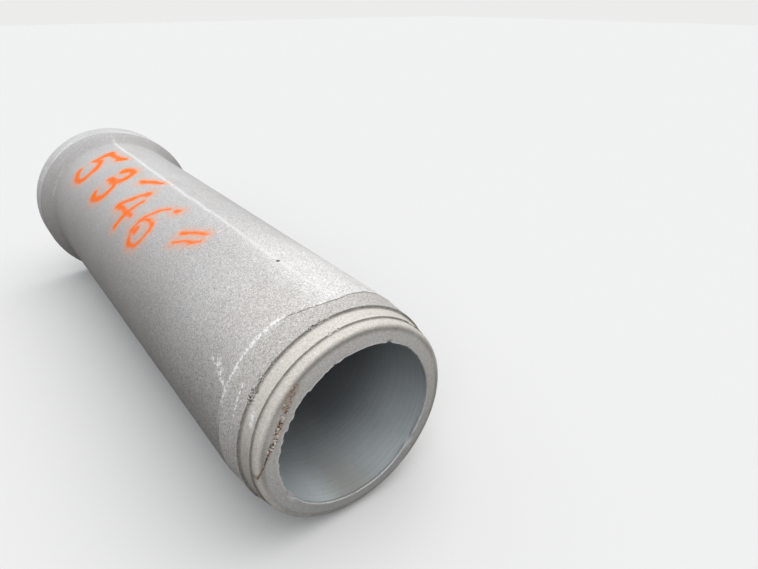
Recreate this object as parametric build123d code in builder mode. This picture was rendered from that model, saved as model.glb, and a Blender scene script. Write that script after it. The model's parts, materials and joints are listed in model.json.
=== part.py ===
"""Concrete culvert pipe: one precast length of bell and spigot drain pipe, lying on a level floor.

The pipe is cast in one piece, so it is one solid, turned round its own axis. It lies on the shoulder
of its bell and on the far end of its barrel, so its axis leans down a little from bell to spigot.
Row frame: +X from the bell towards the spigot, +Z up, origin on the floor under the box's centre.
Stations are distances along the pipe's axis from the bell's mouth.
"""

from build123d import *
import os
from math import asin, atan2, cos, degrees, hypot, sin, tan

INCH = 25.4

# Barrel
overall_length = 2365.0
bore_radius = 10 * INCH
wall = 85.0

# Spigot, measured back from its end: the nose, the ring that seats, and the tapered shoulder
nose_length = 40.0
ring_length = 45.0
shoulder_length = 90.0
shoulder_drop = 9.0
ring_drop = 8.0
ring_taper = 5.0
nose_drop = 5.0
end_slope = 7.0
nose_rounding = 14.0
nose_seat = 2.0
bore_edge_chamfer = 3.0

# Bell: a flare out from the barrel, then a cylinder to the mouth
bell_radius = 386.0
bell_length = 150.0
flare_length = 50.0
flare_top_rounding = 15.0
flare_foot_rounding = 25.0
bell_rounding = 9.0

# Socket inside the bell: made to take the spigot of the next pipe
joint_clearance = 4.0
joint_gap = 8.0
lead_in_length = 16.0
lead_in_flare = 5.0

# Radii and stations that follow
barrel_radius = bore_radius + wall
shoulder_radius = barrel_radius - shoulder_drop
ring_radius = shoulder_radius - ring_drop
nose_radius = ring_radius - ring_taper - nose_drop
nose_station = overall_length - nose_length
ring_station = nose_station - ring_length
shoulder_station = ring_station - shoulder_length
flare_station = bell_length + flare_length
nose_foot_radius = nose_radius - nose_rounding - nose_seat

# The two steps of the spigot have a fairly sharp edge and a soft foot
step_edge = 0.3
step_foot = 0.6

socket_radius = ring_radius + joint_clearance
pocket_radius = nose_radius + joint_clearance
socket_depth = ring_length + joint_gap
pocket_depth = nose_length + socket_depth

# Lean of the axis: the floor touches the rounded shoulder of the bell and the front edge of the barrel
flare_turn = atan2(bell_radius - barrel_radius, flare_length)
round_station = bell_length - flare_top_rounding * tan(flare_turn / 2)
reach = shoulder_station - round_station
drop = barrel_radius - bell_radius + flare_top_rounding
lean = asin(flare_top_rounding / hypot(reach, drop)) - atan2(drop, reach)

# Where the middle of the mouth lies when the box is centred on the origin and stands on the floor
mouth_low_x = bell_rounding * (cos(lean) - 1) - (bell_radius - bell_rounding) * sin(lean)
end_high_x = overall_length * cos(lean) + (bore_radius + bore_edge_chamfer) * sin(lean)
mouth_x = -(mouth_low_x + end_high_x) / 2
mouth_z = shoulder_station * sin(lean) + barrel_radius * cos(lean)
pipe_axis = Axis((mouth_x, 0, mouth_z), (cos(lean), 0, -sin(lean)))
section_plane = Plane(origin=pipe_axis.position, x_dir=pipe_axis.direction, z_dir=(0, -1, 0))

# Corners of the section, as station and radius, round the wall from the bell's mouth
bell_corner = (0, bell_radius)
flare_top = (bell_length, bell_radius)
flare_foot = (flare_station, barrel_radius)
barrel_front = (shoulder_station, barrel_radius)
shoulder_front = (ring_station, shoulder_radius)
shoulder_foot = (ring_station, ring_radius)
ring_front = (nose_station, ring_radius - ring_taper)
ring_foot = (nose_station, nose_radius)
nose_corner = (overall_length - end_slope, nose_radius)
nose_foot = (overall_length - end_slope, nose_foot_radius)
end_edge = (overall_length, bore_radius + bore_edge_chamfer)
bore_front = (overall_length - bore_edge_chamfer, bore_radius)
bore_back = (pocket_depth, bore_radius)
pocket_back = (pocket_depth, pocket_radius)
pocket_front = (socket_depth, pocket_radius)
socket_back = (socket_depth, socket_radius)
socket_front = (lead_in_length, socket_radius)
lead_in_edge = (0, socket_radius + lead_in_flare)

with BuildPart() as pipe:
    with BuildSketch(section_plane) as section:
        with BuildLine():
            Polyline(
                bell_corner,
                flare_top,
                flare_foot,
                barrel_front,
                shoulder_front,
                shoulder_foot,
                ring_front,
                ring_foot,
                nose_corner,
                nose_foot,
                end_edge,
                bore_front,
                bore_back,
                pocket_back,
                pocket_front,
                socket_back,
                socket_front,
                lead_in_edge,
                close=True,
            )
        make_face()
        for corner, radius in (
            (flare_top, flare_top_rounding),
            (flare_foot, flare_foot_rounding),
            (bell_corner, bell_rounding),
            (shoulder_front, step_edge * ring_drop),
            (shoulder_foot, step_foot * ring_drop),
            (ring_front, step_edge * nose_drop),
            (ring_foot, step_foot * nose_drop),
            (nose_corner, nose_rounding),
        ):
            fillet(section.vertices().sort_by_distance(corner)[0], radius)
    revolve(axis=pipe_axis)

pipe.part.label = "culvert_pipe"
os.makedirs("parts", exist_ok=True)
export_step(pipe.part, "parts/culvert_pipe.step")
print("lean", round(degrees(lean), 4), "mouth", round(mouth_x, 4), round(mouth_z, 4))
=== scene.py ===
"""Looks of one precast concrete culvert pipe, lying on a pale studio floor.

Stations are distances along the pipe's axis from the bell's mouth, in metres. Turns are measured
round the axis from the crown, in degrees, positive towards the side that the camera sees.
"""

import json
import math

import bpy
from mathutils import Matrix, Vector


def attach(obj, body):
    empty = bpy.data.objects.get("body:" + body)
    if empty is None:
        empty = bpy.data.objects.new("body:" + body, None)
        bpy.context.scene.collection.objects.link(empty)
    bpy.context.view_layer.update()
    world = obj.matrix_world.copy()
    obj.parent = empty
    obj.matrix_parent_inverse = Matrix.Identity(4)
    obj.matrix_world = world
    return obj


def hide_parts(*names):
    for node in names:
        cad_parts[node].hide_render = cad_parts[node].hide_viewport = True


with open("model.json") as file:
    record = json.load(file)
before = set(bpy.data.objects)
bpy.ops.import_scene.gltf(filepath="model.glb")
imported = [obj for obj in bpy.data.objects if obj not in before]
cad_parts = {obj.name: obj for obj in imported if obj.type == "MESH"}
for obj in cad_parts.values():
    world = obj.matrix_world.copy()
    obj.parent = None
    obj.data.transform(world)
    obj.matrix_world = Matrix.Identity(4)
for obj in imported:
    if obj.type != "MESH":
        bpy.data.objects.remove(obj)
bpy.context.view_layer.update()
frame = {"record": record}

scene = bpy.context.scene
scene.view_settings.view_transform = "Standard"

# The pipe's own axis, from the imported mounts
mounts = {mount["name"]: mount for mount in frame["record"]["mounts"]}
axis = Vector(mounts["waterway"]["axis"]).normalized()
bore_middle = Vector(mounts["waterway"]["pos_m"])
mouth = bore_middle - axis * (bore_middle - Vector(mounts["bell_face"]["pos_m"])).dot(axis)
crown = Vector((-axis.z, 0, axis.x))
side = Vector((0, -1, 0))
lean = math.atan2(-axis.z, axis.x)


def mount_size(name, size):
    """A size of a mount, in metres."""
    return mounts[name]["dims"][size] / 1000


# Sizes of the section, in metres
bore_radius = mount_size("waterway", "r_mm")
bore_edge_chamfer = 0.003
bore_front = (bore_middle - mouth).length + mount_size("waterway", "length_mm") / 2
overall_length = bore_front + bore_edge_chamfer
wall = 0.085
nose_length = 0.040
ring_length = 0.045
shoulder_length = 0.090
shoulder_drop = 0.009
ring_drop = 0.008
ring_taper = 0.005
nose_drop = 0.005
end_slope = 0.007
nose_rounding = 0.014
nose_seat = 0.002
bell_radius = 0.386
bell_length = 0.150
flare_length = 0.050
lead_in_length = 0.016
lead_in_flare = 0.005
barrel_radius = bore_radius + wall
shoulder_radius = barrel_radius - shoulder_drop
ring_radius = shoulder_radius - ring_drop
ring_front_radius = ring_radius - ring_taper
nose_radius = ring_front_radius - nose_drop
nose_foot_radius = nose_radius - nose_rounding - nose_seat
nose_station = overall_length - nose_length
ring_station = nose_station - ring_length
shoulder_station = ring_station - shoulder_length
flare_station = bell_length + flare_length
socket_radius = mount_size("bell_socket", "r_mm")
pocket_radius = mount_size("socket_pocket", "r_mm")
socket_depth = lead_in_length + mount_size("bell_socket", "length_mm")
pocket_depth = socket_depth + mount_size("socket_pocket", "length_mm")

turned_segments = 456
turning_radius = 0.3
sharp_edge_angle = 42

# Sockets of a Mix node that mixes colours
mix_amount = 0
mix_first = 6
mix_second = 7
mix_result = 2


# Node maths written as Python expressions

class Signal:
    """A socket of a node tree, with the arithmetic that makes Math nodes."""

    def __init__(self, tree, socket):
        self.tree = tree
        self.socket = socket

    def math(self, operation, *values, clamp=False):
        node = self.tree.nodes.new("ShaderNodeMath")
        node.operation = operation
        node.use_clamp = clamp
        for index, value in enumerate((self, *values)):
            feed(self.tree, node.inputs[index], value)
        return Signal(self.tree, node.outputs[0])

    def __add__(self, other):
        return self.math("ADD", other)

    __radd__ = __add__

    def __mul__(self, other):
        return self.math("MULTIPLY", other)

    __rmul__ = __mul__

    def __sub__(self, other):
        return self.math("SUBTRACT", other)

    def __rsub__(self, other):
        return (self * -1).math("ADD", other)

    def least(self, other):
        return self.math("MINIMUM", other)

    def most(self, other):
        return self.math("MAXIMUM", other)

    def size(self):
        return self.math("ABSOLUTE")

    def across(self, other):
        """The long side of the right angle that the two make."""
        return self.math("MULTIPLY_ADD", self, other * other).math("SQRT")

    def clamped(self):
        return self.math("ADD", 0.0, clamp=True)


def nearer(first, second):
    return second if first is None else first.least(second)


def stronger(first, second):
    return second if first is None else first.most(second)


def feed(tree, socket, value):
    """Links a signal to a socket, or sets the socket's own value."""
    if isinstance(value, Signal):
        tree.links.new(value.socket, socket)
    elif value is not None:
        socket.default_value = value


class Maker:
    """Adds nodes to one tree."""

    def __init__(self, tree):
        self.tree = tree

    def node(self, kind, settings=None, inputs=None, output=0):
        """A node with its settings and inputs, as the signal of one of its outputs."""
        node = self.tree.nodes.new(kind)
        for name, value in (settings or {}).items():
            setattr(node, name, value)
        for name, value in (inputs or {}).items():
            feed(self.tree, node.inputs[name], value)
        return Signal(self.tree, node.outputs[output])

    def end(self, kind, socket, value):
        """The node that a tree ends in."""
        feed(self.tree, self.tree.nodes.new(kind).inputs[socket], value)

    def vector(self, operation, *values, output="Vector"):
        inputs = dict(enumerate(values))
        return self.node("ShaderNodeVectorMath", {"operation": operation}, inputs, output)

    def stretched(self, value, scale):
        """A vector times a number."""
        inputs = {0: value, "Scale": scale}
        return self.node("ShaderNodeVectorMath", {"operation": "SCALE"}, inputs)

    def combine(self, x, y, z):
        return self.node("ShaderNodeCombineXYZ", None, {"X": x, "Y": y, "Z": z})

    def split(self, value, part):
        return self.node("ShaderNodeSeparateXYZ", None, {"Vector": value}, part)

    def ramp(self, value, low, high):
        """0 at low, 1 at high, smooth between, for low under or over high."""
        settings = {"interpolation_type": "SMOOTHSTEP"}
        inputs = {"Value": value, "From Min": low, "From Max": high}
        return self.node("ShaderNodeMapRange", settings, inputs)

    def mix(self, amount, a, b):
        inputs = {mix_amount: amount, mix_first: a, mix_second: b}
        return self.node("ShaderNodeMix", {"data_type": "RGBA"}, inputs, mix_result)

    def scaled(self, colour, amount):
        """The colour times an amount, which may be over 1."""
        settings = {"data_type": "RGBA", "clamp_factor": False}
        inputs = {mix_amount: amount, mix_first: grey(0.0), mix_second: colour}
        return self.node("ShaderNodeMix", settings, inputs, mix_result)

    def ripple(self, value, scale, detail=3.0, roughness=0.55):
        """Noise along one value."""
        inputs = {"W": value, "Scale": scale, "Detail": detail, "Roughness": roughness}
        return self.node("ShaderNodeTexNoise", {"noise_dimensions": "1D"}, inputs)


class PipePlace:
    """Where a point lies on the pipe, as signals of one tree, with masks and noises there."""

    def __init__(self, make, place):
        self.make = make
        self.place = place
        up = self.reach(crown)
        out = self.reach(side)
        self.station = self.reach(axis)
        self.turn = out.math("ARCTAN2", up)
        self.arc = self.turn * barrel_radius
        self.radius = up.across(out)
        self.height = make.vector("DOT_PRODUCT", place, (0, 0, 1), output="Value")

    def reach(self, direction):
        """How far the point lies from the mouth's middle along a direction."""
        along = self.make.vector("DOT_PRODUCT", self.place, tuple(direction), output="Value")
        return along - mouth.dot(direction)

    def along(self, low, high):
        """0 at one station, 1 at the other."""
        return self.make.ramp(self.station, low, high)

    def turned(self, low, high):
        """0 at one turn, 1 at the other."""
        return self.make.ramp(self.turn, math.radians(low), math.radians(high))

    def outward(self, low, high):
        """0 at one radius, 1 at the other."""
        return self.make.ramp(self.radius, low, high)

    def arc_gap(self, degrees, radius=1.0):
        """Distance round the axis from a turn, always the short way, or radians for no radius."""
        apart = self.turn - math.radians(degrees)
        return apart.math("WRAP", math.pi, -math.pi).size() * radius

    def spot(self, station, degrees, radius, outer, inner):
        """0 at the outer distance from a place on the pipe, 1 at the inner."""
        turn = math.radians(degrees)
        centre = mouth + axis * station + radius * (crown * math.cos(turn) + side * math.sin(turn))
        gap = self.make.vector("DISTANCE", self.place, tuple(centre), output="Value")
        return self.make.ramp(gap, outer, inner)

    def noise(self, scale, detail=3.0, roughness=0.55):
        inputs = {"Vector": self.place, "Scale": scale, "Detail": detail, "Roughness": roughness}
        return self.make.node("ShaderNodeTexNoise", None, inputs)

    def swing(self, scale, detail=3.0, roughness=0.55):
        """Noise about 0."""
        return self.noise(scale, detail, roughness) - 0.5

    def chance(self, scale, channel):
        """A random value for each cell, of which there are so many to a metre."""
        inputs = {"Vector": self.place, "Scale": scale}
        cells = self.make.node("ShaderNodeTexVoronoi", None, inputs, "Color")
        return self.make.node("ShaderNodeSeparateColor", None, {"Color": cells}, channel)


def grey(level, warmth=0.0):
    """A grey of the given brightness, warmer above 0 and cooler below it."""
    return (level * (1 + warmth), level, level * (1 - 1.3 * warmth), 1)


# Colours as linear light, where a pair is the two ends of a mottle
# The flanks' tones are darker partly as painted shade; the sandy and bleached crown are lighter
# partly as painted highlight
shaded_flank_tones = ((0.33, 0.315, 0.302, 1), (0.349, 0.338, 0.33, 1))
crown_tones = ((0.487, 0.472, 0.468, 1), (0.515, 0.511, 0.516, 1))
sandy_lit_crown = grey(0.583, 0.04)
bleached_lit_crown = grey(0.749, 0.01)
dull_patch = grey(0.398, 0.03)
soil_tone = (0.316, 0.263, 0.199, 1)
fleck_tone = grey(0.84, 0.02)
# The flare's dirt is partly painted shade; flare_shade is painted shade on the barrel behind the
# flare
flare_dirt_and_shade = grey(0.275, 0.02)
flare_shade = grey(0.304, 0.02)
rim_tone = grey(0.643)
bleached_rim = grey(0.796)
scuff_tone = grey(0.889)
band_tones = (grey(0.468, 0.04), grey(0.509, 0.035))
ring_tones = (grey(0.573, 0.055), grey(0.608, 0.06))
ring_stain = (0.38, 0.345, 0.315, 1)
# Dirt with painted shade at the foot of the spigot's steps
step_dirt_and_shade = grey(0.152, 0.07)
end_face_tones = (grey(0.439, 0.01), grey(0.474, 0.035))
# Settled dirt with painted shade in the valley at the foot of the nose
settled_dirt_and_shade = grey(0.175, 0.10)
seam_halo = grey(0.772)
seam_tone = grey(0.866, 0.01)
# Painted shade of a hairline along the front edge of the barrel's skin
skin_edge_shade = grey(0.117, 0.05)
lime_tone = grey(0.92)
pit_tone = grey(0.07, 0.1)
fresh_tone = grey(0.749, 0.01)
lip_tone = grey(0.702)
pale_crumb = grey(0.842)
dark_crumb = grey(0.058, 0.08)
rust_film = (0.275, 0.175, 0.108, 1)
rust_tail = (0.099, 0.047, 0.035, 1)
dark_grain = (0.058, 0.035, 0.021, 1)
rust_grain = (0.468, 0.222, 0.088, 1)
pale_grain = (0.82, 0.76, 0.69, 1)
bore_tones = ((0.351, 0.386, 0.404, 1), (0.421, 0.45, 0.462, 1))
silt_tone = (0.24, 0.234, 0.197, 1)
rim_shadow = grey(0.117, 0.03)
paint_mist = (0.92, 0.315, 0.110, 1)
paint_orange = (0.94, 0.175, 0.014, 1)

# How fine the concrete's patterns are, as noise scales and as grains to a metre
cloud_scale = 2.6
blotch_scale = 13.0
grit_scale = 120.0
sand_scale = 290.0
grains_to_metre = 300.0
fine_grains_to_metre = 430.0
rust_grains_to_metre = 230.0

# The concrete's surface
concrete_roughness = 0.93
concrete_specular = 0.2
relief_strength = 0.55
relief_height = 0.0022

# The barrel's skin ends in a ragged line, which runs forward at the crown
coat_station = 2.188
coat_height = 0.0016
coat_crest_turn = -1.72
coat_crest_length = 0.036
coat_crest_sharpness = 9.0

# The casting seam along the crown, with half its width as a ridge, as a line and as a pale band
seam_turn = -2.5
seam_ridge_reach = 0.0075
seam_line_reach = 0.008
seam_halo_reach = 0.020

# Turns of what differs round the pipe
flaky_turn = 58.0
pale_lip_turn = 40.0
# Turns of the bore's painted shade deep in and painted light near the mouth
bore_shade_turn = -110.0
bore_light_turn = 132.0
silt_turn = 177.0
rim_shadow_turn = 165.0

# Broken spots of the spigot: station, turn, radius, reach
hollow_spots = (
    (ring_station, 11.0, shoulder_radius, 0.012),
    (ring_station, 16.0, shoulder_radius, 0.016),
    (nose_station, 7.0, ring_front_radius, 0.008),
    (nose_station, 11.5, ring_front_radius, 0.009),
    (ring_station, 39.0, shoulder_radius, 0.010),
    (ring_station, 47.0, shoulder_radius, 0.016),
    (ring_station + 0.002, 53.5, shoulder_radius, 0.020),
    (ring_station + 0.004, 57.5, shoulder_radius, 0.022),
    (ring_station, 142.0, shoulder_radius, 0.020),
    (ring_station, 203.0, shoulder_radius, 0.024),
    (nose_station, 255.0, ring_front_radius, 0.018),
)

# Nicks of the bore's edge: turn, half length, depth
bore_nicks = (
    (-23.0, 0.014, 0.005),
    (10.0, 0.010, 0.002),
    (118.0, 0.030, 0.005),
    (-131.0, 0.026, 0.006),
)

# Where the bore's edge was cast too full: turn, half length, height
full_edges = (
    (10.0, 0.090, 0.0025),
    (32.0, 0.055, 0.0065),
    (42.0, 0.080, 0.0040),
    (60.0, 0.055, 0.0060),
    (70.0, 0.085, 0.0040),
    (-66.0, 0.120, 0.0030),
    (230.0, 0.110, 0.0040),
)

# Flakes that end in a step along the bore's edge: turn of the step, length, height
edge_flakes = (
    (24.0, 0.040, 0.0020),
    (38.0, 0.024, 0.0030),
    (57.5, 0.040, 0.0045),
    (65.0, 0.026, 0.0045),
    (73.5, 0.022, 0.0030),
    (80.0, 0.020, 0.0025),
    (90.0, 0.026, 0.0020),
)

# Short pale marks: how far each reaches, and its start and end, each as a station and a turn
rim_scuffs = (0.010, ((0.085, 26.0), (0.105, 44.0)), ((0.070, 52.0), (0.085, 66.0)))
flare_scuffs = (0.007, ((0.190, 44.0), (0.192, 68.0)))
lime_dabs = (0.020, ((2.076, 56.0), (2.140, 58.0)), ((2.100, 55.0), (2.165, 61.0)))
band_runs = (0.006, ((2.236, 54.0), (2.246, 69.0)))
crown_runs = (0.004, ((1.60, 3.0), (1.612, 7.5)), ((1.50, -6.5), (1.53, -3.5)))
ring_runs = (0.011, ((2.303, 61.5), (2.311, 67.5)))

# A dark pit near the crown: station, turn, radius, where it starts and where it is darkest
crown_pit = (1.932, -1.7, barrel_radius, 0.009, 0.004)

# Where rust has run over the end face: turn and radius
rust_path = (
    (40.5, 0.291),
    (45.0, 0.289),
    (50.0, 0.283),
    (57.0, 0.274),
    (71.0, 0.274),
    (80.0, 0.284),
    (87.0, 0.296),
    (95.0, 0.318),
)
rust_radius = 0.28


# Marks of age that both the shape and the colour follow

def coat_gap(where):
    """How far behind the ragged front line of the barrel's skin a place lies."""
    crest = where.turn - math.radians(coat_crest_turn)
    forward = (crest * crest * -coat_crest_sharpness).math("EXPONENT")
    line = coat_station + coat_crest_length * forward
    ragged = where.swing(11.0, 2.0)
    torn = where.swing(70.0, 4.0, 0.7)
    return line + ragged * 0.016 + torn * 0.009 - where.station


def hollows(where):
    """1 at the middle of each broken spot, falling to 0 at its reach."""
    most = None
    for station, degrees, radius, reach in hollow_spots:
        most = stronger(most, where.spot(station, degrees, radius, reach, 0.0))
    return most


def seam_ridge(make, where, half_width):
    """1 on the casting seam along the crown, 0 beside it."""
    sway = (make.ripple(where.station, 3.0) - 0.5) * 0.03
    ragged = where.swing(60.0) * 0.010
    apart = (where.arc - math.radians(seam_turn) * barrel_radius + sway + ragged).size()
    strength = 0.4 + 0.6 * where.along(2.4, 0.9)
    strength = strength * where.along(flare_station - 0.06, flare_station + 0.04)
    return make.ramp(apart, half_width, 0.2 * half_width) * strength


def round_the_edge(make, where, marks):
    """The size of the marks along the bore's edge."""
    most = None
    for degrees, half, size in marks:
        mark = make.ramp(where.arc_gap(degrees, bore_radius), half, 0.2 * half) * size
        most = stronger(most, mark)
    return most


def flake_steps(make, where):
    """Flakes that grow along the bore's edge and end sharply."""
    most = None
    for degrees, length, height in edge_flakes:
        past = (where.turn - math.radians(degrees)) * bore_radius
        flake = make.ramp(past, -length, -0.002) * make.ramp(past, 0.002, -0.001) * height
        most = stronger(most, flake)
    return most


# The section of the pipe

section_corners = (
    # station, radius, rounding, how exposed to knocks
    (0, bell_radius, 0.009, 0.9),
    (bell_length, bell_radius, 0.015, 0.6),
    (flare_station, barrel_radius, 0.025, 0.0),
    (shoulder_station, barrel_radius, 0.0, 0.0),
    (ring_station, shoulder_radius, 0.3 * ring_drop, 0.4),
    (ring_station, ring_radius, 0.6 * ring_drop, 0.0),
    (nose_station, ring_front_radius, 0.3 * nose_drop, 0.3),
    (nose_station, nose_radius, 0.6 * nose_drop, 0.0),
    (overall_length - end_slope, nose_radius, nose_rounding, 0.0),
    (overall_length - end_slope, nose_foot_radius, 0.0, 0.0),
    (overall_length, bore_radius + bore_edge_chamfer, 0.0, 0.5),
    (overall_length - bore_edge_chamfer, bore_radius, 0.0, 0.5),
    (pocket_depth, bore_radius, 0.004, 0.7),
    (pocket_depth, pocket_radius, 0.0, 0.0),
    (socket_depth, pocket_radius, 0.002, 0.5),
    (socket_depth, socket_radius, 0.0, 0.0),
    (lead_in_length, socket_radius, 0.0, 0.0),
    (0, socket_radius + lead_in_flare, 0.003, 0.9),
)
wear_reach = 0.007
rounding_steps = 5

# Spacing of the section's points: fine where the pipe has edges and relief
fine_step = 0.0036
flare_step = 0.009
barrel_step = 0.06
bore_step = 0.13
fine_from = 2.150
edge_from = overall_length - 0.03
barrel_from = flare_station + 0.02


def step_at(station, radius):
    in_bore = radius < bore_radius + 0.001
    off_bore = radius > bore_radius + 0.004
    if station > edge_from or (station > fine_from and off_bore):
        return fine_step
    if in_bore:
        return bore_step
    return barrel_step if station > barrel_from else flare_step


def rounded_outline():
    """The corners as a closed outline, each rounding replaced by points of its arc."""
    outline = []
    count = len(section_corners)
    for index, (station, radius, rounding, _) in enumerate(section_corners):
        here = Vector((station, radius))
        if not rounding:
            outline.append(here)
            continue
        back = (Vector(section_corners[index - 1][:2]) - here).normalized()
        on = (Vector(section_corners[(index + 1) % count][:2]) - here).normalized()
        half = back.angle(on) / 2
        centre = here + (back + on).normalized() * (rounding / math.sin(half))
        start = here + back * (rounding / math.tan(half)) - centre
        end = here + on * (rounding / math.tan(half)) - centre
        sweep = start.angle(end)
        for step in range(rounding_steps + 1):
            t = step / rounding_steps
            share = math.sin((1 - t) * sweep) / math.sin(sweep)
            rest = math.sin(t * sweep) / math.sin(sweep)
            outline.append(centre + start * share + end * rest)
    return outline


def section_outline():
    """Points round the wall, close together where detail needs them."""
    outline = []
    corners = rounded_outline()
    for index, point in enumerate(corners):
        following = corners[(index + 1) % len(corners)]
        outline.append(point)
        length = (following - point).length
        done = step_at(*point)
        while done < length:
            place = point.lerp(following, done / length)
            step = step_at(*place)
            if length - done > 0.5 * step:
                outline.append(place)
            done += step
    return outline


def wear_at(point):
    """How exposed a point of the section is to knocks: 1 on the sharpest edges, 0 away from them."""
    most = 0.0
    for station, radius, _, weight in section_corners:
        gap = (Vector((station, radius)) - point).length
        most = max(most, weight * math.exp(-((gap / wear_reach) ** 2)))
    return most


def section_object():
    """The outline as a closed loop of edges, ready to be turned."""
    outline = section_outline()
    mesh = bpy.data.meshes.new("section")
    points = [(point.y - turning_radius, point.x, 0) for point in outline]
    edges = [(index, (index + 1) % len(points)) for index in range(len(points))]
    mesh.from_pydata(points, edges, [])
    wear = mesh.attributes.new("wear", "FLOAT", "POINT")
    for index, point in enumerate(outline):
        wear.data[index].value = wear_at(point)
    piece = bpy.data.objects.new("section", mesh)
    scene.collection.objects.link(piece)
    print("section points", len(outline), "triangles", 2 * len(outline) * turned_segments)
    return piece


# The turned and weathered shape

def turned_pipe_tree():
    """Turns a section round the pipe's axis, lays it in place and weathers it."""
    tree = bpy.data.node_groups.new("turned_pipe", "GeometryNodeTree")
    sockets = (
        ("Section", "NodeSocketGeometry"),
        ("Segments", "NodeSocketInt"),
        ("Turning Radius", "NodeSocketFloat"),
        ("Mouth", "NodeSocketVector"),
        ("Attitude", "NodeSocketVector"),
        ("Unevenness", "NodeSocketFloat"),
        ("Chip Depth", "NodeSocketFloat"),
        ("Hollow Depth", "NodeSocketFloat"),
        ("Skin Height", "NodeSocketFloat"),
        ("Seam Height", "NodeSocketFloat"),
        ("Lip", "NodeSocketFloat"),
        ("Finish", "NodeSocketMaterial"),
    )
    for name, kind in sockets:
        tree.interface.new_socket(name, in_out="INPUT", socket_type=kind)
    tree.interface.new_socket("Pipe", in_out="OUTPUT", socket_type="NodeSocketGeometry")
    make = Maker(tree)
    inputs = tree.nodes.new("NodeGroupInput")
    given = {socket.name: Signal(tree, socket) for socket in inputs.outputs if socket.name}
    loop = make.node("GeometryNodeMeshToCurve", None, {"Mesh": given["Section"]})
    circle = make.node(
        "GeometryNodeCurvePrimitiveCircle",
        None,
        {"Resolution": given["Segments"], "Radius": given["Turning Radius"]},
    )
    pipe = make.node("GeometryNodeCurveToMesh", None, {"Curve": circle, "Profile Curve": loop})
    pipe = make.node(
        "GeometryNodeTransform",
        None,
        {"Geometry": pipe, "Translation": given["Mouth"], "Rotation": given["Attitude"]},
    )
    where = PipePlace(make, make.node("GeometryNodeInputPosition"))
    offset = weathered_offset(make, given, where)
    pipe = make.node("GeometryNodeSetPosition", None, {"Geometry": pipe, "Offset": offset})
    place = make.node("GeometryNodeInputPosition")
    x, y, z = (make.split(place, part) for part in "XYZ")
    above = make.combine(x, y, z.most(0.0))
    pipe = make.node("GeometryNodeSetPosition", None, {"Geometry": pipe, "Position": above})
    pipe = make.node("GeometryNodeSetMaterial", None, {"Geometry": pipe, "Material": given["Finish"]})
    pipe = make.node("GeometryNodeRealizeInstances", None, {"Geometry": pipe})
    make.end("NodeGroupOutput", "Pipe", pipe)
    return tree


def weathered_offset(make, given, where):
    """How far each point of the turned pipe moves, with the CAD box kept."""
    knocks = where.noise(80.0, 3.0, 0.6)
    near_bore = where.outward(bore_radius + 0.014, bore_radius + 0.004)
    near_bore = near_bore * where.along(overall_length - 0.016, overall_length - 0.005)
    bell = where.along(flare_station + 0.03, flare_station - 0.02)
    amount = wall_relief(make, given, where, bell) - breakage(make, given, where, knocks)
    amount = amount - round_the_edge(make, where, bore_nicks) * near_bore * (0.6 + 0.8 * knocks)
    near_end = where.along(overall_length - 0.03, overall_length - 0.012)
    near_mouth = where.along(0.02, 0.004)
    held = (bell + near_end + near_mouth).clamped()
    amount = amount * (1 - held) + amount.least(0.0) * held
    along_normal = make.stretched(make.node("GeometryNodeInputNormal"), amount)
    foot = make.stretched(tuple(axis), where.station)
    arm = make.vector("SUBTRACT", make.vector("SUBTRACT", where.place, tuple(mouth)), foot)
    edge = bore_edge_growth(make, given, where) * near_bore
    outward = make.stretched(make.vector("NORMALIZE", arm), edge)
    return make.vector("ADD", along_normal, outward)


def wall_relief(make, given, where, bell):
    """Slight unevenness, the drop in front of the barrel's skin and the casting seam."""
    outside = where.outward(ring_front_radius - 0.006, ring_front_radius)
    barrel = outside * (1 - bell) * where.along(ring_station - 0.002, ring_station - 0.02)
    uneven = where.swing(4.0, 2.0) * 1.5 + where.swing(26.0) * 0.5
    bare = make.ramp(coat_gap(where), 0.003, -0.001) * barrel
    seam = seam_ridge(make, where, seam_ridge_reach) * barrel
    relief = uneven * given["Unevenness"] - bare * given["Skin Height"]
    return relief + seam * given["Seam Height"]


def breakage(make, given, where, knocks):
    """Chips along the exposed edges and broken spots at the spigot's steps."""
    settings = {"data_type": "FLOAT"}
    wear = make.node("GeometryNodeInputNamedAttribute", settings, {"Name": "wear"}, "Attribute")
    chipped = where.noise(17.0, 4.0, 0.6) + (wear - 0.5) * 0.1
    chips = make.ramp(chipped, 0.58, 0.64) * wear * (0.3 + knocks)
    broken = hollows(where) * make.ramp(where.noise(120.0, 3.0, 0.65), 0.42, 0.62)
    return chips * given["Chip Depth"] + broken * given["Hollow Depth"]


def bore_edge_growth(make, given, where):
    """How far the bore's edge stands back from the bore, or below 0 into it."""
    flaky = make.ramp(where.arc_gap(flaky_turn, bore_radius), 0.26, 0.10)
    wobble = where.swing(8.0, 2.0) * 0.4
    crumble = where.swing(75.0, 4.0, 0.75) * (0.9 + 0.8 * flaky)
    full = round_the_edge(make, where, full_edges)
    return (wobble + crumble) * given["Lip"] - full - flake_steps(make, where)


# Sprayed marks: a row of plain figures on the unrolled barrel

def stroke(x, y, start, end):
    """Distance from a straight stroke."""
    right = end[0] - start[0]
    up = end[1] - start[1]
    squared = right * right + up * up
    ahead = x - start[0]
    aside = y - start[1]
    share = (ahead * (right / squared) + aside * (up / squared)).clamped()
    return (ahead - share * right).across(aside - share * up)


def bow(x, y, centre, radius, middle, half):
    """Distance from an arc, given by the turn of its middle and half its sweep, in degrees."""
    middle = math.radians(middle)
    half = math.radians(half)
    right = x - centre[0]
    up = y - centre[1]
    ahead = right * math.cos(middle) + up * math.sin(middle)
    aside = (up * math.cos(middle) - right * math.sin(middle)).size()
    on_arc = (ahead.across(aside) - radius).size()
    tip = (ahead - radius * math.cos(half)).across(aside - radius * math.sin(half))
    past = (aside.math("ARCTAN2", ahead) - half).math("GREATER_THAN", 0.0)
    return on_arc + (tip - on_arc) * past


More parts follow.
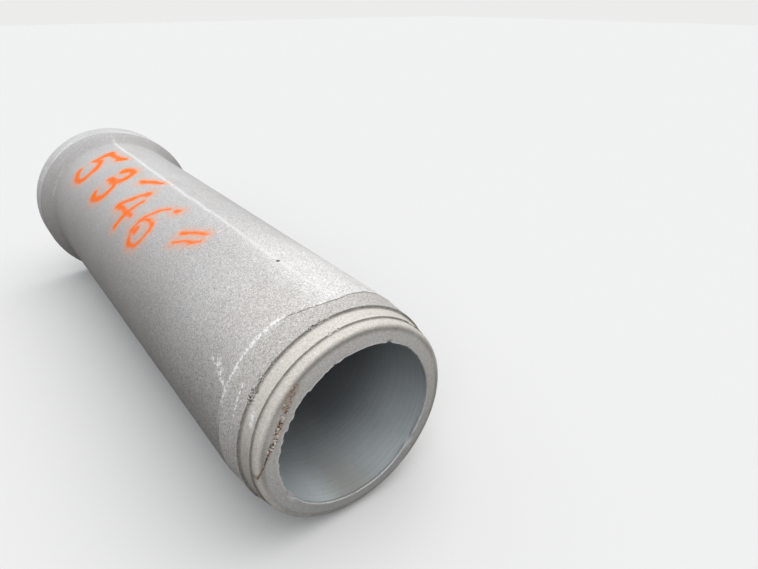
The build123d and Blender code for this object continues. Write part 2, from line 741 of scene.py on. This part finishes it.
# Each figure stands in a cell of height 1, with its foot at 0
figures = {
    "5": (
        (stroke, (0.80, 0.98), (0.20, 0.93)),
        (stroke, (0.20, 0.93), (0.16, 0.56)),
        (bow, (0.36, 0.31), 0.31, -12.0, 140.0),
    ),
    "3": (
        (bow, (0.34, 0.75), 0.24, 5.0, 128.0),
        (bow, (0.36, 0.27), 0.28, 0.0, 132.0),
    ),
    "4": (
        (stroke, (0.50, 1.00), (0.05, 0.36)),
        (stroke, (0.05, 0.36), (0.86, 0.40)),
        (stroke, (0.66, 0.74), (0.58, 0.00)),
    ),
    "6": (
        (bow, (0.34, 0.27), 0.27, 0.0, 180.0),
        (bow, (0.86, 0.34), 0.79, 158.0, 29.0),
    ),
}
# Figure, station of its left, distance round from the crown of its foot, height
figure_row = (
    ("5", 0.330, 0.262, 0.225),
    ("3", 0.655, 0.262, 0.210),
    ("4", 0.960, 0.278, 0.190),
    ("6", 1.195, 0.292, 0.215),
)
# Dashes: start and end, each as a station and a distance round from the crown
dashes = (
    ((0.890, 0.066), (0.985, 0.012)),
    ((1.490, 0.128), (1.590, 0.072)),
    ((1.505, 0.172), (1.612, 0.105)),
)
# Where the can was held still: station, distance round, radius
spray_pools = (
    (0.505, 0.045, 0.010),
    (0.372, 0.060, 0.012),
    (0.690, 0.075, 0.013),
    (1.052, 0.092, 0.008),
    (1.235, 0.238, 0.013),
    (1.325, 0.072, 0.012),
)
hand_sway = 0.045


def spray_gap(where):
    """Distance from the nearest sprayed line, on the unrolled barrel."""
    x = where.station + where.swing(9.0, 2.0) * hand_sway
    y = where.arc + where.swing(10.3, 2.0) * hand_sway
    gap = None
    for start, end in dashes:
        gap = nearer(gap, stroke(x, y, start, end))
    for name, left, foot, height in figure_row:
        right = (x - left) * (1 / height)
        up = (y - foot) * (-1 / height)
        for kind, *shape in figures[name]:
            gap = nearer(gap, kind(right, up, *shape) * height)
    for station, arc, radius in spray_pools:
        gap = nearer(gap, (x - station).across(y - arc) - radius)
    return gap


def spray_paint(make, where, face):
    """Orange marks with soft edges and a thin mist round them."""
    pressure = where.swing(22.0, 2.0)
    mottle = where.noise(170.0, 3.0, 0.7)
    outer = where.outward(barrel_radius - 0.02, barrel_radius - 0.01)
    spread = where.along(1.5, 0.5) * 0.010 - 0.006
    edge = spray_gap(where) + (mottle - 0.5) * 0.008 - pressure * 0.020 - spread
    core = make.ramp(edge, 0.020, 0.006) * (0.66 + 0.50 * where.noise(34.0, 3.0, 0.6))
    mist = make.ramp(edge, 0.058, 0.008) * make.ramp(mottle, 0.20, 0.64) * 0.56
    face = make.mix((mist * outer).clamped(), face, paint_mist)
    return make.mix((core * outer).clamped(), face, paint_orange)


# Weathered concrete

def concrete():
    """Grey cast concrete: sandy outside, smooth in the bore, stained and chipped at the spigot."""
    material, make = new_material("weathered_concrete")
    where = PipePlace(make, make.node("ShaderNodeTexCoord", None, None, "Object"))
    wear = make.node("ShaderNodeAttribute", {"attribute_name": "wear"}, None, "Fac")
    sand = where.noise(sand_scale, 4.0, 0.8)
    grit = where.noise(grit_scale, 3.0, 0.7)
    blotch = where.noise(blotch_scale, 5.0, 0.62)
    cloud = where.noise(cloud_scale, 4.0, 0.55)
    smooth = where.along(ring_station, ring_station + 0.004)
    in_bore = bore_share(where)

    face = outer_face(make, where, cloud, blotch)
    face = bell_tone(make, where, face, blotch)
    face = weathering(make, where, face, blotch)
    face = spigot_face(make, where, face, grit)
    face = make.scaled(face, 1 + sandy_tone(where, sand) * (1 - 0.5 * smooth))
    flecks = make.ramp(grit, 0.66, 0.72) * where.along(ring_station + 0.004, ring_station - 0.01)
    face = make.mix(flecks * 0.35, face, fleck_tone)
    face = seam_and_runs(make, where, face)
    face = broken_places(make, where, face, wear)
    face = rust(make, where, face)
    face = make.mix(in_bore, face, bore_face(make, where, cloud, grit, sand))
    face = spray_paint(make, where, face)

    rough = (1 - 0.8 * in_bore) * (1 - 0.6 * smooth)
    height = (sand + grit * 0.5) * rough + blotch * 0.4
    relief = {"Strength": relief_strength, "Distance": relief_height, "Height": height}
    finish = {
        "Base Color": face,
        "Roughness": concrete_roughness,
        "Specular IOR Level": concrete_specular,
        "Normal": make.node("ShaderNodeBump", None, relief),
    }
    surface = make.node("ShaderNodeBsdfPrincipled", None, finish)
    make.end("ShaderNodeOutputMaterial", "Surface", surface)
    return material


def new_material(name):
    """An empty material, and the maker of its nodes."""
    material = bpy.data.materials.new(name)
    material.use_nodes = True
    material.node_tree.nodes.clear()
    return material, Maker(material.node_tree)


def bore_share(where):
    """1 inside the bore, 0 on the other faces."""
    inside = where.outward(bore_radius + 0.004, bore_radius + 0.001)
    inside = inside * where.along(overall_length - 0.0015, overall_length - 0.0045)
    return inside * where.along(pocket_depth - 0.002, pocket_depth + 0.004)


def sandy_tone(where, sand):
    """Light and dark grains, stronger towards the spigot."""
    near = where.along(0.6, 2.1)
    grains = where.chance(grains_to_metre, "Red") - 0.5
    fine_grains = where.chance(fine_grains_to_metre, "Green") - 0.5
    tone = grains * 0.38 * (0.7 + 0.3 * near) + fine_grains * 0.50 * near
    return tone + (sand - 0.5) * 0.9 * (0.65 + 0.35 * near)


def streaks(make, where, reach, *marks):
    """1 on short lines over the surface."""
    gap = None
    for (start, start_turn), (end, end_turn) in marks:
        first = (start, math.radians(start_turn) * barrel_radius)
        last = (end, math.radians(end_turn) * barrel_radius)
        gap = nearer(gap, stroke(where.station, where.arc, first, last))
    return make.ramp(gap, reach, 0.15 * reach)


def outer_face(make, where, cloud, blotch):
    """The barrel's broad colours: bleached along the crown, lilac grey on the flanks, with the flanks
    darker partly as painted shade and the crown lighter partly as painted highlight.
    """
    patch = make.ramp(cloud, 0.36, 0.64)
    # The flanks' darker tone is partly painted shade
    flank = make.scaled(make.mix(patch, *shaded_flank_tones), 0.95 + 0.16 * where.along(1.9, 0.5))
    high = make.ramp(where.turn.size(), math.radians(90), math.radians(20))
    face = make.mix(high, flank, make.mix(patch, *crown_tones))
    # Lighter towards the front along the crown: sandy colour, partly painted highlight from above
    warm = make.ramp(where.station + (blotch - 0.5) * 0.9, 1.5, 2.3) * high
    face = make.mix(warm * 0.8, face, sandy_lit_crown)
    # Lighter on the sunlit side of the seam: bleaching, partly painted highlight
    beyond_crown = where.turned(14, -8) * (0.25 + 0.75 * where.along(1.4, 2.05))
    return make.mix(beyond_crown * high * 0.8, face, bleached_lit_crown)


def weathering(make, where, face, blotch):
    """Dull patches all over, and soil near the ground."""
    face = make.mix(make.ramp(blotch, 0.46, 0.68) * 0.22, face, dull_patch)
    soil = make.ramp(where.height + (blotch - 0.5) * 0.16, 0.15, 0.01)
    return make.mix(soil * 0.45, face, soil_tone)


def bell_tone(make, where, face, blotch):
    """Dirt and painted shade on the flare of the bell, painted shade just behind the flare, and a
    bleached rim with scuffed edges.
    """
    outside = where.outward(barrel_radius - 0.004, barrel_radius - 0.002)
    edge = bell_length - 0.026 * where.turned(-14, 12) + (blotch - 0.5) * 0.02
    brushed = make.ripple(where.station * 30.0 + blotch * 1.6, 1.0, 3.0, 0.6)
    flare = where.along(flare_station + 0.006, flare_station - 0.006)
    flare = flare * make.ramp(where.station - edge, -0.008, 0.006)
    # The flare is darkened partly by dirt and partly by painted shade
    face = make.mix(flare * outside * (0.60 * brushed), face, flare_dirt_and_shade)
    # Painted shade on the barrel just behind the flare, fading along it
    beyond = where.along(flare_station + 0.09, flare_station) * (1 - flare) * outside
    face = make.mix(beyond * 0.20, face, flare_shade)
    rim = make.ramp(where.station - edge, 0.004, -0.010) * outside
    face = make.mix(rim * 0.6, face, rim_tone)
    bleached = rim * where.turned(2, -16) * where.turned(-80, -40) * where.along(0.06, 0.13)
    face = make.mix(bleached * 0.45, face, bleached_rim)
    scuffs = streaks(make, where, *rim_scuffs)
    scuffs = scuffs.most(streaks(make, where, *flare_scuffs) * 0.2)
    scuffs = scuffs * make.ramp(where.noise(70.0, 3.0, 0.7), 0.42, 0.54) * outside
    return make.mix(scuffs * 0.8, face, scuff_tone)


def spigot_face(make, where, face, grit):
    """The bare band, the ring and the nose, with dirt and painted shade at the foot of each step and
    in the valley at the foot of the nose.
    """
    outside = where.outward(bore_radius + 0.004, bore_radius + 0.006)
    bare = make.ramp(coat_gap(where), 0.002, -0.002) * where.along(2.10, 2.12)
    face = make.mix(bare, face, make.mix(make.ramp(grit, 0.40, 0.62), *band_tones))
    ring = where.along(ring_station - 0.002, ring_station + 0.002) * outside
    face = make.mix(ring, face, make.mix(make.ramp(grit, 0.38, 0.64), *ring_tones))
    low_ring = ring * where.turned(56, 84) * where.along(nose_station + 0.008, nose_station)
    face = make.mix(low_ring * 0.5, face, ring_stain)
    # Dirt and painted shade at the foot of each step
    face = make.mix(groove_dirt_and_shade(make, where), face, step_dirt_and_shade)
    end = where.along(overall_length - 0.012, overall_length - 0.007)
    end = end * where.outward(nose_foot_radius + 0.008, nose_foot_radius)
    end_face = make.mix(make.ramp(where.height, 0.10, 0.45), *end_face_tones)
    face = make.mix(end, face, end_face)
    # Darker in the valley at the foot of the nose's rounding: settled dirt and painted shade
    valley = make.ramp((where.radius - nose_foot_radius - 0.002).size(), 0.013, 0.002)
    valley = valley * where.along(overall_length - 0.018, overall_length - 0.011)
    settled = make.ramp(where.noise(7.0, 2.0), 0.34, 0.60)
    return make.mix(valley * (0.22 + 0.34 * settled), face, settled_dirt_and_shade)


def groove_dirt_and_shade(make, where):
    """Dirt that has gathered at the foot of the two steps of the spigot, with painted shade in the
    corner of each step.
    """
    loose = where.noise(40.0, 3.0, 0.6)
    outside = where.outward(nose_foot_radius + 0.006, nose_foot_radius + 0.010)
    most = None
    for foot, reach in ((ring_station, 0.014), (nose_station, 0.013)):
        ahead = where.station - foot
        film = make.ramp(ahead, reach, 0.0) * make.ramp(ahead, -0.002, 0.0)
        most = stronger(most, film * film)
    return most * outside * (0.55 + 0.5 * loose)


def seam_and_runs(make, where, face):
    """The pale seam, the edge of the barrel's skin with a hairline of painted shade, and runs and
    dabs of lime.
    """
    torn = where.noise(120.0, 4.0, 0.75)
    outer = where.outward(ring_front_radius - 0.004, ring_front_radius)
    behind = outer * where.along(coat_station + 0.02, coat_station)
    face = make.mix(seam_ridge(make, where, seam_halo_reach) * behind * 0.24, face, seam_halo)
    seam = seam_ridge(make, where, seam_line_reach) * behind
    face = make.mix(seam * make.ramp(torn, 0.34, 0.60) * 0.7, face, seam_tone)

    gap = coat_gap(where)
    near_line = outer * where.along(2.10, 2.12) * where.along(ring_station, ring_station - 0.01)
    # A dark hairline of painted shade along the front edge of the barrel's skin
    skin_edge_line = make.ramp((gap + 0.001).size(), 0.0032, 0.0008) * make.ramp(torn, 0.36, 0.48)
    face = make.mix(skin_edge_line * near_line * 0.75, face, skin_edge_shade)
    bloom = make.ramp((gap - 0.003).size(), 0.010, 0.002) * make.ramp(torn, 0.40, 0.56)
    bloom = bloom * where.turned(18, 24) * where.turned(86, 60)
    face = make.mix(bloom * near_line * 0.9, face, lime_tone)

    dabs = streaks(make, where, *lime_dabs)
    dabs = dabs * make.ramp(where.noise(45.0, 3.0, 0.65), 0.43, 0.50)
    runs = dabs.most(streaks(make, where, *band_runs))
    runs = runs.most(streaks(make, where, *crown_runs))
    face = make.mix(runs * make.ramp(torn, 0.44, 0.56) * outer * 0.9, face, lime_tone)
    on_ring = where.along(ring_station + 0.006, ring_station + 0.012)
    ring_run = streaks(make, where, *ring_runs) * on_ring
    face = make.mix(ring_run * make.ramp(torn, 0.38, 0.50) * 0.9, face, lime_tone)
    return make.mix(where.spot(*crown_pit), face, pit_tone)


def broken_places(make, where, face, wear):
    """Fresh breaks of the edges, the pale lip of the bore and the crumbs of the broken spots."""
    torn = where.noise(120.0, 4.0, 0.75)
    fresh = make.ramp(wear, 0.35, 0.85) * make.ramp(torn, 0.42, 0.58)
    face = make.mix(fresh * 0.55, face, fresh_tone)
    lip = where.outward(bore_radius + 0.012, bore_radius + 0.009) * make.ramp(wear, 0.36, 0.46)
    lip = lip * where.along(overall_length - 0.02, overall_length - 0.01)
    lip = lip * make.ramp(where.arc_gap(pale_lip_turn, bore_radius), 0.36, 0.20)
    face = make.mix(lip * make.ramp(torn, 0.36, 0.56) * 0.75, face, lip_tone)
    crumbs = where.noise(190.0, 3.0, 0.7)
    broken = hollows(where)
    face = make.mix(broken * make.ramp(crumbs, 0.52, 0.60) * 0.8, face, pale_crumb)
    dark = make.ramp(broken, 0.1, 0.6) * make.ramp(crumbs, 0.52, 0.44)
    return make.mix(dark * 0.9, face, dark_crumb)


def rust(make, where, face):
    """A brown stain with grains in it, down the end face and over the nose on the camera's side."""
    round_it = where.turn * rust_radius
    nearest = None
    for (turn, radius), (next_turn, next_radius) in zip(rust_path, rust_path[1:]):
        start = (math.radians(turn) * rust_radius, radius)
        end = (math.radians(next_turn) * rust_radius, next_radius)
        nearest = nearer(nearest, stroke(round_it, where.radius, start, end))
    sway = where.swing(30.0, 3.0, 0.7) * 0.006
    head = where.turned(60, 46)
    spread = where.turned(88, 72) * 0.0062 + 0.0012
    beyond = nearest + sway - spread - head * 0.0025
    front = where.along(nose_station + 0.004, nose_station + 0.010)
    stain = make.ramp(beyond, 0.009, -0.005) * (0.34 + 0.14 * head)
    face = make.mix(stain * front, face, rust_film)
    tail = make.ramp(nearest + sway * 0.3, 0.0036, 0.0012) * where.turned(71, 79)
    face = make.mix(tail * front * 0.7, face, rust_tail)
    which = where.chance(rust_grains_to_metre, "Red")
    grain = make.mix(make.ramp(which, 0.45, 0.50), dark_grain, rust_grain)
    grain = make.mix(make.ramp(which, 0.74, 0.78), grain, pale_grain)
    there = make.ramp(where.chance(rust_grains_to_metre, "Green"), 0.48, 0.54)
    strewn = make.ramp(beyond, 0.002, -0.002) * there * (1 - 0.5 * head)
    return make.mix(strewn * front * 0.85, face, grain)


def bore_face(make, where, cloud, grit, sand):
    """The smooth blue grey wall of the bore, with silt and a dark line under its edge, painted shade
    deeper in round one turn and painted light near the mouth round another.
    """
    face = make.mix(make.ramp(cloud, 0.34, 0.66), *bore_tones)
    rings = make.ripple(where.station + cloud * 0.03, 120.0, 3.0, 0.7)
    # Painted shade, darker deeper in the bore round one turn, and painted light near the mouth round
    # another
    bore_shade = make.ramp(where.arc_gap(bore_shade_turn), 1.7, 0.7) * where.along(2.30, 1.98)
    bore_light = make.ramp(where.arc_gap(bore_light_turn), 0.8, 0.3) * where.along(2.12, 2.32)
    tone = 0.74 + 0.26 * rings + 0.14 * grit + 0.12 * sand
    face = make.scaled(face, tone * (0.92 - 0.50 * bore_shade + 0.26 * bore_light))
    silt = make.ramp(where.arc_gap(silt_turn, bore_radius) + (grit - 0.5) * 0.05, 0.12, 0.01)
    silt = silt * (0.18 + 0.37 * where.along(2.12, 2.34))
    face = make.mix(silt, face, silt_tone)
    rim_line = make.ramp((where.station - overall_length + 0.006).size(), 0.004, 0.001)
    under = make.ramp(where.arc_gap(rim_shadow_turn, bore_radius), 0.30, 0.16)
    return make.mix(rim_line * under * 0.6, face, rim_shadow)


# Pieces

def make_pipe():
    """The pipe, turned and weathered, in place of its plain solid."""
    piece = section_object()
    tree = turned_pipe_tree()
    turned = piece.modifiers.new("turned_pipe", "NODES")
    turned.node_group = tree
    values = {
        "Segments": turned_segments,
        "Turning Radius": turning_radius,
        "Mouth": tuple(mouth),
        "Attitude": (0, lean - math.pi / 2, 0),
        "Unevenness": 0.0016,
        "Chip Depth": 0.0045,
        "Hollow Depth": 0.007,
        "Skin Height": coat_height,
        "Seam Height": 0.0009,
        "Lip": 0.0065,
        "Finish": concrete(),
    }
    for item in tree.interface.items_tree:
        if item.in_out == "INPUT" and item.name in values:
            turned[item.identifier] = values[item.name]
    view = bpy.context.evaluated_depsgraph_get()
    mesh = bpy.data.meshes.new_from_object(piece.evaluated_get(view))
    pipe = bpy.data.objects.new("weathered_pipe", mesh)
    scene.collection.objects.link(pipe)
    bpy.data.objects.remove(piece)
    mesh.polygons.foreach_set("use_smooth", [True] * len(mesh.polygons))
    mesh.set_sharp_from_angle(angle=math.radians(sharp_edge_angle))
    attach(pipe, "root")
    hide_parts("culvert_pipe")


# The studio

floor_half = 40.0
floor_seen = (0.70, 0.70, 0.694, 1)
floor_bounce = (0.09, 0.09, 0.085, 1)
background = (0.84, 0.84, 0.835, 1)
sky_horizon = (0.102, 0.105, 0.110, 1)
sky_overhead = (0.56, 0.578, 0.608, 1)
sky_full_from = 0.7

# Lamps: energy, softness in degrees, direction towards the lamp, colour
lamps = {
    "overhead": (1.75, 70, (0.15, 0.25, 1.0), (1.0, 0.985, 0.955)),
    "fill": (1.15, 50, (1.0, -0.70, 0.95), (1.0, 1.0, 1.0)),
}

# The camera, where the photograph was taken from
camera_place = (2.1585, -0.6993, 1.3935)
camera_turn = (62.811, 0.0, 51.816)
camera_lens = 26.36
camera_sensor = 36
camera_near = 0.05


def seen_directly(make):
    """1 for what the camera sees itself or in a reflection, 0 for light that bounces."""
    rays = ("Is Camera Ray", "Is Glossy Ray", "Is Transmission Ray")
    camera, mirrored, through = (make.node("ShaderNodeLightPath", None, None, ray) for ray in rays)
    return (camera + mirrored + through).clamped()


def make_floor():
    """A wide floor that looks pale and throws little light back."""
    mesh = bpy.data.meshes.new("floor")
    low = -floor_half
    high = floor_half
    corners = [(low, low, 0), (high, low, 0), (high, high, 0), (low, high, 0)]
    mesh.from_pydata(corners, [], [(0, 1, 2, 3)])
    floor = bpy.data.objects.new("floor", mesh)
    scene.collection.objects.link(floor)
    material, make = new_material("pale_floor")
    dim = make.node("ShaderNodeBsdfDiffuse", None, {"Color": floor_bounce})
    pale = make.node("ShaderNodeBsdfDiffuse", None, {"Color": floor_seen})
    both = make.node("ShaderNodeMixShader", None, {0: seen_directly(make), 1: dim, 2: pale})
    make.end("ShaderNodeOutputMaterial", "Surface", both)
    mesh.materials.append(material)


def light_scene():
    """A soft sky, brighter overhead than at the horizon, with two broad soft lamps."""
    world = bpy.data.worlds.new("studio")
    scene.world = world
    world.use_nodes = True
    make = Maker(world.node_tree)
    towards = make.node("ShaderNodeTexCoord", None, None, "Generated")
    up = make.ramp(make.split(towards, "Z"), 0.0, sky_full_from)
    sky = make.mix(up, sky_horizon, sky_overhead)
    colour = make.mix(seen_directly(make), sky, background)
    feed(world.node_tree, world.node_tree.nodes["Background"].inputs["Color"], colour)
    for name, (energy, softness, direction, lamp_colour) in lamps.items():
        lamp = bpy.data.lights.new(name, "SUN")
        lamp.energy = energy
        lamp.angle = math.radians(softness)
        lamp.color = lamp_colour
        holder = bpy.data.objects.new(name, lamp)
        holder.rotation_euler = Vector(direction).to_track_quat("Z", "Y").to_euler()
        scene.collection.objects.link(holder)


def place_camera():
    camera = bpy.data.cameras.new("camera")
    camera.lens = camera_lens
    camera.sensor_width = camera_sensor
    camera.clip_start = camera_near
    holder = bpy.data.objects.new("camera", camera)
    holder.location = camera_place
    holder.rotation_euler = [math.radians(angle) for angle in camera_turn]
    scene.collection.objects.link(holder)
    scene.camera = holder


make_pipe()
make_floor()
light_scene()
place_camera()
